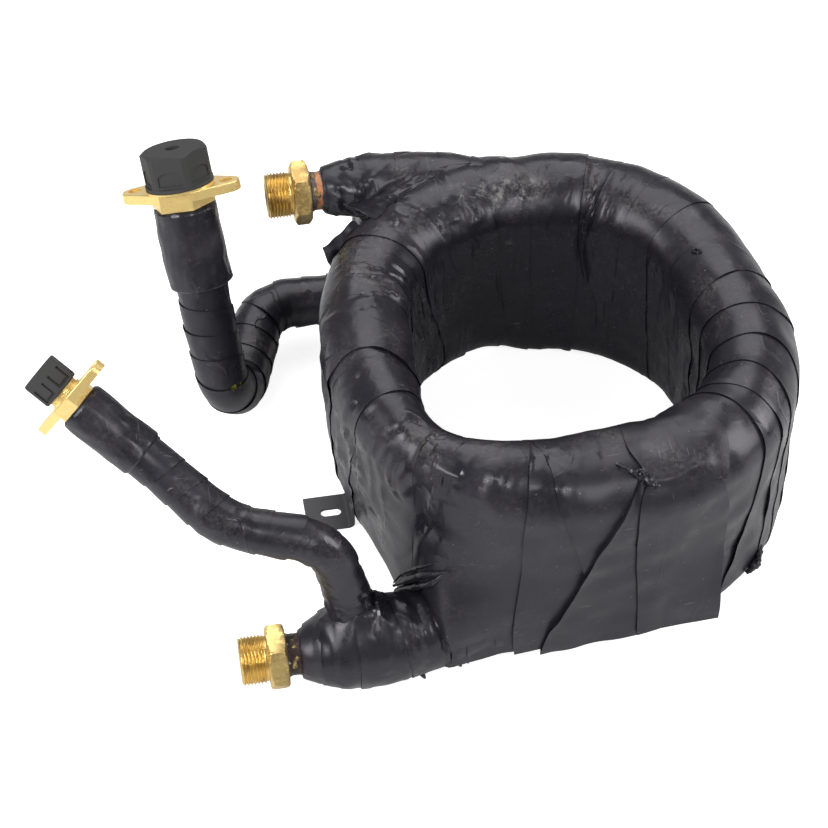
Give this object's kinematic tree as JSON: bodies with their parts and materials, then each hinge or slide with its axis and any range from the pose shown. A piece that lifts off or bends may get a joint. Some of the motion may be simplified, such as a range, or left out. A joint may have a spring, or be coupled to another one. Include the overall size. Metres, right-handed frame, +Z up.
{
  "type": "heat pump heat exchanger",
  "caption": "Tube-in-tube coil wrapped in taped foam, with brass water nipples at its tails and lagged refrigerant pipes that end in capped flanges.",
  "frame": {"origin": "middle of the whole part's box at the level of the feet", "axes": "+Z up through the coil, -X out of both water nipples"},
  "size_m": [0.5126, 0.375, 0.2517],
  "materials": {
    "steel": "bare mill steel, brazed",
    "copper": "bare copper tube, dulled by brazing",
    "brass": "machined and forged brass, darkened by heat",
    "tape": "satin black vinyl wrapping tape, dusty",
    "foam": "closed-cell black foam",
    "foam_skin": "smooth-skinned black foam under tape",
    "cap_plastic": "moulded satin black plastic",
    "foot_paint": "black painted steel sheet"
  },
  "bodies": {
    "root": {"jacket_coil": "steel", "water_tube": "copper", "jacket_reducer_lower": "steel", "jacket_reducer_upper": "steel", "water_nipple_lower": "brass", "water_nipple_upper": "brass", "liquid_saddle": "steel", "suction_saddle": "steel", "liquid_pipe": "copper", "suction_pipe": "copper", "liquid_flange": "brass", "suction_flange": "brass", "liquid_seal_disc": "copper", "suction_seal_disc": "copper", "liquid_lagging": "foam", "suction_lagging": "foam", "liquid_tape": "tape", "suction_tape": "tape", "liquid_sleeve": "foam_skin", "suction_sleeve": "foam_skin", "suction_cap": "cap_plastic", "liquid_cap": "cap_plastic", "foot_left": "foot_paint", "foot_rear": "foot_paint", "coil_lagging": "foam", "leg_lagging_lower": "foam", "leg_lagging_upper": "foam", "coil_tape": "tape", "leg_tape_lower": "tape", "leg_tape_upper": "tape", "front_tape_sheet": "tape", "loose_tape_end": "tape"}
  },
  "joints": []
}
